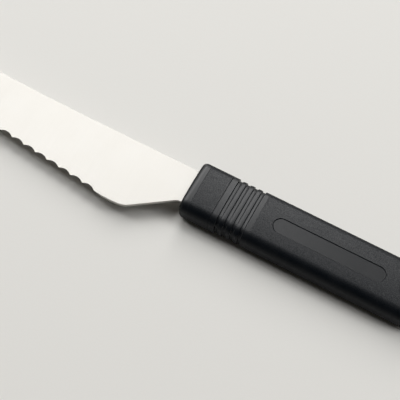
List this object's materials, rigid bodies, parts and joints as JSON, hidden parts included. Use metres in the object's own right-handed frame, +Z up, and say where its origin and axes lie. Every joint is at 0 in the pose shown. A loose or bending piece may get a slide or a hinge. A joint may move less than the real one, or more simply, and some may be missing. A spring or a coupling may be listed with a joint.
{
  "type": "cheese knife",
  "caption": "Hard cheese knife: a scalloped, single-bevel steel blade with an upswept spine in a black moulded handle with grip rings, a bare panel and a hanging eye.",
  "frame": {"origin": "middle of the handle's length, on its axis, on the flat underside that the knife lies on", "axes": "+X along the knife towards the butt, so the blade points to -X; +Y from the cutting edge to the spine; +Z up, out of the face with the panel"},
  "size_m": [0.284, 0.0356, 0.0145],
  "materials": {
    "blade_steel": "satin, brushed across the blade",
    "handle_plastic": "fine mould texture, smooth on the collar, the grip rings and the panel"
  },
  "bodies": {
    "root": {"blade": "blade_steel", "handle": "handle_plastic"}
  },
  "joints": []
}
